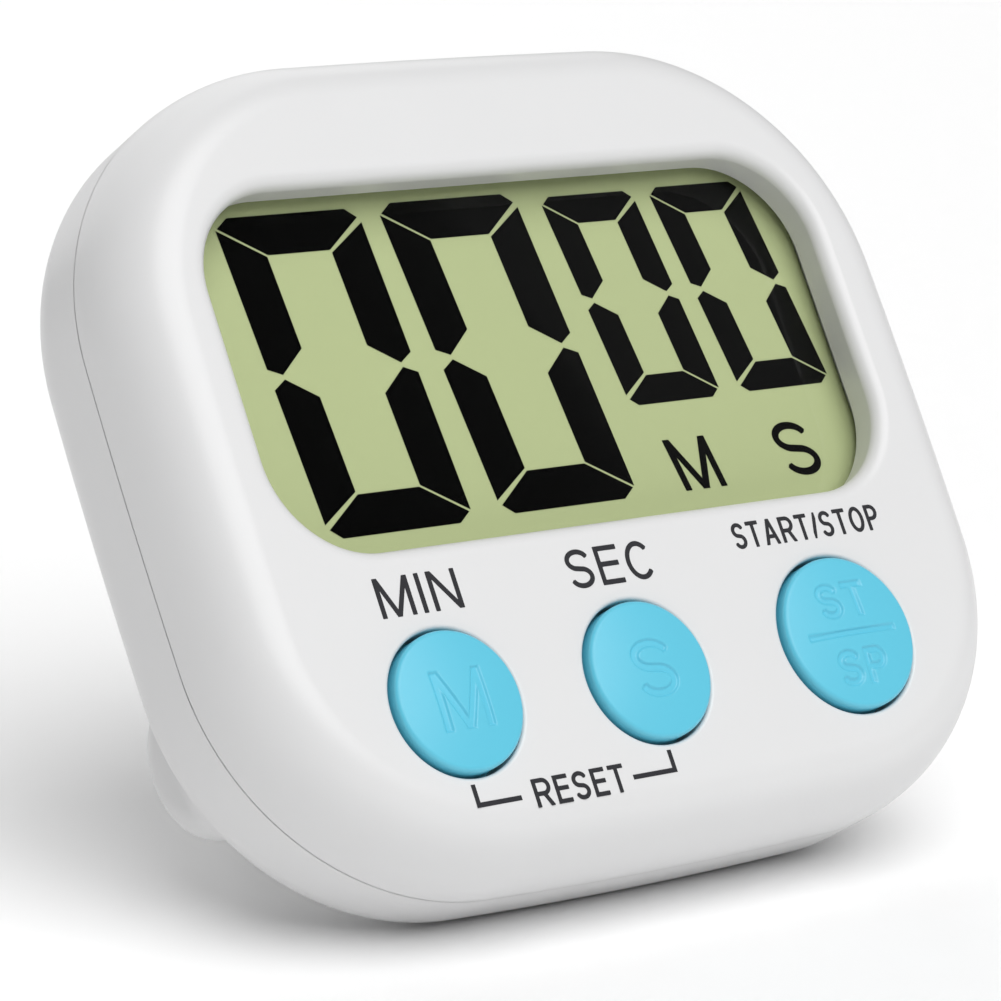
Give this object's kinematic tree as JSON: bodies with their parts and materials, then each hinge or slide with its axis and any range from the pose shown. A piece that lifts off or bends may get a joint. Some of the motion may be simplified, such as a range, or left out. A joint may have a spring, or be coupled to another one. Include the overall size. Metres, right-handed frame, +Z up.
{
  "type": "kitchen timer",
  "caption": "Digital countdown timer with a deep display recess, three round buttons, a fold-out stand, a magnet and a battery door, standing leaned back.",
  "frame": {"origin": "middle of the bounding box's base, on the surface that the timer stands on", "axes": "+Z up, face turned to -Y and leaned back, +X to the right of the face"},
  "size_m": [0.08, 0.0504, 0.0657],
  "materials": {
    "white_case": "white injection-moulded ABS with a fine satin gloss",
    "blue_button": "sky blue moulded ABS, satin",
    "clear_pane": "clear acrylic sheet, polished",
    "display_glass": "thin soda-lime glass",
    "polariser_film": "pale yellow-green polarising film",
    "reflector_film": "pale green reflective film",
    "holder_plastic": "natural white ABS, matte",
    "zebra_rubber": "striped silicone rubber, grey and pink",
    "board_laminate": "green solder mask over glass-epoxy laminate",
    "carbon_ink": "black carbon-loaded silicone or ink",
    "black_epoxy": "poured black epoxy",
    "bright_metal": "nickel-plated steel",
    "ferrite": "sintered ferrite, dark grey and slightly rough",
    "copper_coil": "enamelled copper winding on a ferrite drum",
    "chip_ceramic": "tan ceramic chip body with tinned ends",
    "dark_chip": "black moulded component body",
    "dome_rubber": "translucent grey silicone rubber",
    "buzzer_brass": "thin rolled brass",
    "buzzer_ceramic": "silvered piezo ceramic",
    "foam": "closed-cell foam with adhesive",
    "battery_wrap": "printed shrink sleeve, plain dark blue with a copper band",
    "screw_steel": "zinc-plated self-tapping screws",
    "red_insulation": "red PVC insulation",
    "black_insulation": "black PVC insulation"
  },
  "bodies": {
    "root": {"battery_can": "bright_metal", "battery_sleeve": "battery_wrap", "battery_wire_black": "black_insulation", "battery_wire_red": "red_insulation", "board_screws": "screw_steel", "boost_coil": "copper_coil", "buzzer_ceramic": "buzzer_ceramic", "buzzer_plate": "buzzer_brass", "buzzer_wire_black": "black_insulation", "buzzer_wire_red": "red_insulation", "capacitors": "chip_ceramic", "case_screws": "screw_steel", "chip_blob": "black_epoxy", "circuit_board": "board_laminate", "clock_crystal": "bright_metal", "contact_pads": "carbon_ink", "display_holder": "holder_plastic", "display_window": "clear_pane", "dome_min": "dome_rubber", "dome_sec": "dome_rubber", "dome_start_stop": "dome_rubber", "foam_ring": "foam", "front_glass": "display_glass", "front_polariser": "polariser_film", "front_shell": "white_case", "magnet": "ferrite", "minus_contact": "bright_metal", "minus_spring": "bright_metal", "plus_contact": "bright_metal", "rear_glass": "display_glass", "rear_shell": "white_case", "reflector": "reflector_film", "resistors": "dark_chip", "stand_pins": "screw_steel", "transistor": "dark_chip", "zebra_strip": "zebra_rubber"},
    "press_min": {"button_min": "blue_button", "pill_min": "carbon_ink"},
    "press_sec": {"button_sec": "blue_button", "pill_sec": "carbon_ink"},
    "press_start_stop": {"button_start_stop": "blue_button", "pill_start_stop": "carbon_ink"},
    "door": {"battery_door": "white_case"},
    "leg": {"stand": "white_case"}
  },
  "joints": [
    {"name": "min_press", "type": "slide", "parent": "root", "child": "press_min", "axis": [0, 0.8348, -0.5505], "range_m": [0, 0.001], "stiffness_N_per_m": 1200, "springref_m": -0.0003, "deforming": ["dome_min"]},
    {"name": "sec_press", "type": "slide", "parent": "root", "child": "press_sec", "axis": [0, 0.8348, -0.5505], "range_m": [0, 0.001], "stiffness_N_per_m": 1200, "springref_m": -0.0003, "deforming": ["dome_sec"]},
    {"name": "start_stop_press", "type": "slide", "parent": "root", "child": "press_start_stop", "axis": [0, 0.8348, -0.5505], "range_m": [0, 0.001], "stiffness_N_per_m": 1200, "springref_m": -0.0003, "deforming": ["dome_start_stop"]},
    {"name": "door_lift", "type": "slide", "parent": "root", "child": "door", "axis": [0, 0.8348, -0.5505], "range_m": [0, 0.009]},
    {"name": "stand_fold", "type": "hinge", "parent": "root", "child": "leg", "pos_m": [0, 0.0092, 0.02612], "axis": [1, 0, 0], "range_deg": [0, 116.27]}
  ]
}
